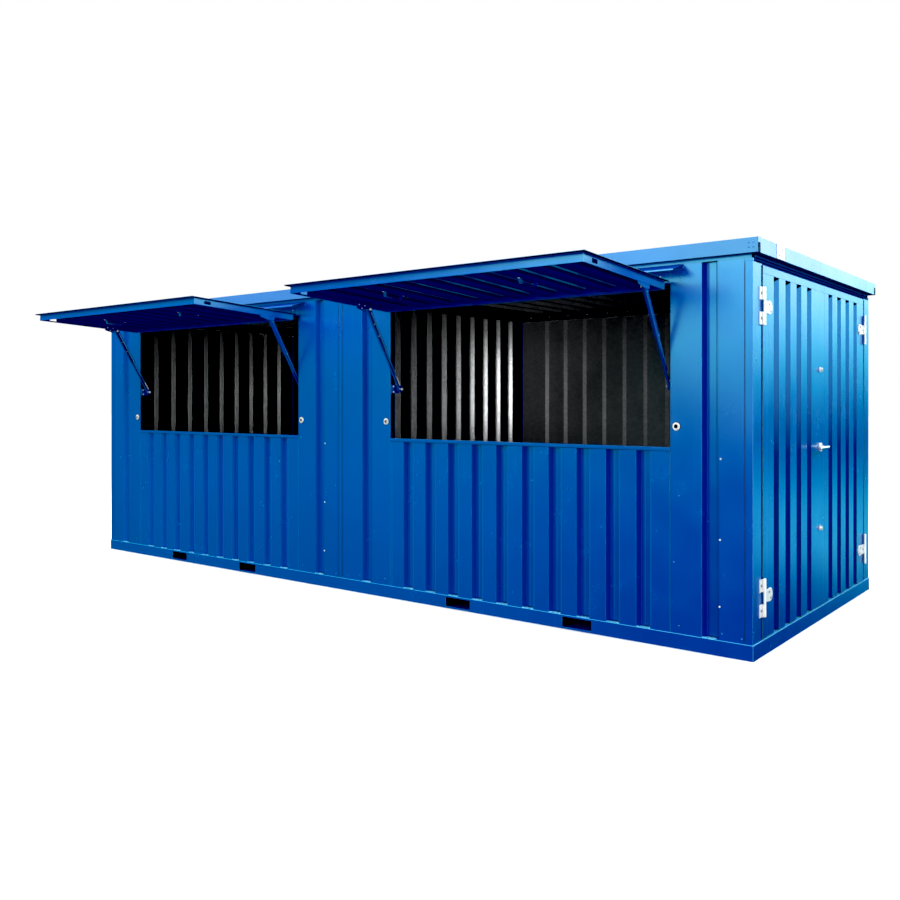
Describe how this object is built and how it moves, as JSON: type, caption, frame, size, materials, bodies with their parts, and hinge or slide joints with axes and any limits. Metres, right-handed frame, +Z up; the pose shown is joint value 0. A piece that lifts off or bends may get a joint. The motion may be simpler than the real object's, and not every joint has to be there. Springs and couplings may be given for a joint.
{
  "type": "demountable storage container with serving hatches",
  "caption": "Ribbed steel storage container in two bays, with top-hung serving hatches on one long side and a double door on one end.",
  "frame": {"origin": "middle of the base frame, on the ground plane under the cross member between the two bays", "axes": "+X along the length towards the doors, -Y towards the serving hatches, +Z up"},
  "size_m": [6.171, 3.399, 2.24],
  "materials": {
    "blue_paint": "semi-gloss",
    "galvanised": "galvanised",
    "deck_board": "dark coated plywood",
    "bright_zinc": "bright zinc plated",
    "stainless": "brushed stainless"
  },
  "bodies": {
    "container": {"base_front": "blue_paint", "base_back": "blue_paint", "base_ends": "blue_paint", "base_mid": "blue_paint", "floor_joists": "galvanised", "floor_deck": "deck_board", "corner_posts": "blue_paint", "mid_posts": "blue_paint", "front_studs": "blue_paint", "front_side_panels": "blue_paint", "front_lower_left": "blue_paint", "front_lower_right": "blue_paint", "front_headers": "blue_paint", "sill_caps": "blue_paint", "back_wall": "blue_paint", "left_wall": "blue_paint", "partition": "galvanised", "roof_front": "blue_paint", "roof_back": "blue_paint", "roof_ends": "blue_paint", "roof_beam": "blue_paint", "roof_sheets": "galvanised", "roof_joint_plates": "bright_zinc", "rain_flaps": "blue_paint", "door_head": "blue_paint", "door_hinge_posts": "bright_zinc", "hatch_hinges": "blue_paint", "hatch_locks": "bright_zinc", "stay_pivots": "blue_paint"},
    "hatch_left": {"hatch_left_skin": "blue_paint", "hatch_left_frame": "blue_paint", "hatch_left_fittings": "blue_paint"},
    "hatch_right": {"hatch_right_skin": "blue_paint", "hatch_right_frame": "blue_paint", "hatch_right_fittings": "blue_paint"},
    "stay_1_lower": {"stay_1_rod": "stainless"},
    "stay_1_upper": {"stay_1_tube": "blue_paint"},
    "stay_2_lower": {"stay_2_rod": "stainless"},
    "stay_2_upper": {"stay_2_tube": "blue_paint"},
    "stay_3_lower": {"stay_3_rod": "stainless"},
    "stay_3_upper": {"stay_3_tube": "blue_paint"},
    "stay_4_lower": {"stay_4_rod": "stainless"},
    "stay_4_upper": {"stay_4_tube": "blue_paint"},
    "door_near": {"door_near_skin": "blue_paint", "door_near_frame": "blue_paint", "door_near_fittings": "bright_zinc"},
    "door_far": {"door_far_skin": "blue_paint", "door_far_frame": "blue_paint", "door_far_fittings": "bright_zinc"},
    "handle": {"door_handle": "stainless"}
  },
  "joints": [
    {"name": "hatch_left_hinge", "type": "hinge", "parent": "container", "child": "hatch_left", "pos_m": [-1.52, -1.212, 2.052], "axis": [1, 0, 0], "range_deg": [0, 93]},
    {"name": "stay_1_pivot", "type": "hinge", "parent": "container", "child": "stay_1_lower", "pos_m": [-2.537, -1.125, 1.465], "axis": [1, 0, 0], "range_deg": [-27.15, 0]},
    {"name": "stay_1_slide", "type": "slide", "parent": "stay_1_lower", "child": "stay_1_upper", "axis": [0, -0.5174, 0.8557], "range_m": [-0.27529, 0]},
    {"name": "stay_2_pivot", "type": "hinge", "parent": "container", "child": "stay_2_lower", "pos_m": [-0.503, -1.125, 1.465], "axis": [1, 0, 0], "range_deg": [-27.15, 0]},
    {"name": "stay_2_slide", "type": "slide", "parent": "stay_2_lower", "child": "stay_2_upper", "axis": [0, -0.5174, 0.8557], "range_m": [-0.27529, 0]},
    {"name": "hatch_right_hinge", "type": "hinge", "parent": "container", "child": "hatch_right", "pos_m": [1.52, -1.212, 2.052], "axis": [1, 0, 0], "range_deg": [0, 93]},
    {"name": "stay_3_pivot", "type": "hinge", "parent": "container", "child": "stay_3_lower", "pos_m": [0.503, -1.125, 1.465], "axis": [1, 0, 0], "range_deg": [-27.15, 0]},
    {"name": "stay_3_slide", "type": "slide", "parent": "stay_3_lower", "child": "stay_3_upper", "axis": [0, -0.5174, 0.8557], "range_m": [-0.27529, 0]},
    {"name": "stay_4_pivot", "type": "hinge", "parent": "container", "child": "stay_4_lower", "pos_m": [2.537, -1.125, 1.465], "axis": [1, 0, 0], "range_deg": [-27.15, 0]},
    {"name": "stay_4_slide", "type": "slide", "parent": "stay_4_lower", "child": "stay_4_upper", "axis": [0, -0.5174, 0.8557], "range_m": [-0.27529, 0]},
    {"name": "door_near_hinge", "type": "hinge", "parent": "container", "child": "door_near", "pos_m": [3.048, -1.049, 1.1], "axis": [0, 0, 1], "range_deg": [-165, 0]},
    {"name": "door_far_hinge", "type": "hinge", "parent": "container", "child": "door_far", "pos_m": [3.048, 1.049, 1.1], "axis": [0, 0, 1], "range_deg": [0, 165]},
    {"name": "handle_turn", "type": "hinge", "parent": "door_near", "child": "handle", "pos_m": [3.066, -0.008, 1.09], "axis": [1, 0, 0], "range_deg": [0, 45], "stiffness_Nm_per_rad": 0.9, "springref_deg": -20.05}
  ],
  "couplings": [
    {"joint": "stay_1_pivot", "follows": "hatch_left_hinge", "ratio": -0.29136},
    {"joint": "stay_1_slide", "follows": "hatch_left_hinge", "m_per_rad": -0.16948},
    {"joint": "stay_2_pivot", "follows": "hatch_left_hinge", "ratio": -0.29136},
    {"joint": "stay_2_slide", "follows": "hatch_left_hinge", "m_per_rad": -0.16948},
    {"joint": "stay_3_pivot", "follows": "hatch_right_hinge", "ratio": -0.29136},
    {"joint": "stay_3_slide", "follows": "hatch_right_hinge", "m_per_rad": -0.16948},
    {"joint": "stay_4_pivot", "follows": "hatch_right_hinge", "ratio": -0.29136},
    {"joint": "stay_4_slide", "follows": "hatch_right_hinge", "m_per_rad": -0.16948}
  ]
}
